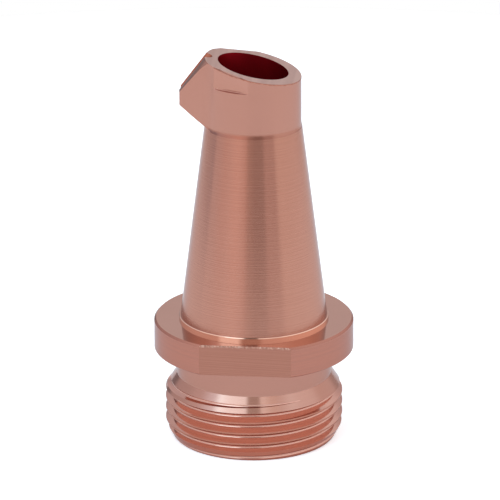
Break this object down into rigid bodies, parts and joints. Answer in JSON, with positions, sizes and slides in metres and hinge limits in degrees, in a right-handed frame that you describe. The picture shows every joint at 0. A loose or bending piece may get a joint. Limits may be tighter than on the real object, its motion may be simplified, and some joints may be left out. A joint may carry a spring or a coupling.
{
  "type": "laser welding nozzle",
  "caption": "Turned copper screw-in nozzle for a hand-held laser welder: threaded foot, flange with spanner flats, taper, and an oblique mouth with a wire-feed horn.",
  "frame": {"origin": "centre of the flat end face of the threaded foot, on the turning axis", "axes": "+Z along the turning axis from the threaded foot to the mouth, -X through the horn, the spanner flats face +Y and -Y"},
  "size_m": [0.018, 0.016, 0.0357],
  "materials": {
    "copper": "bare copper, fine turned and milled surfaces with a satin shine"
  },
  "bodies": {
    "root": {"nozzle_body": "copper"}
  },
  "joints": []
}
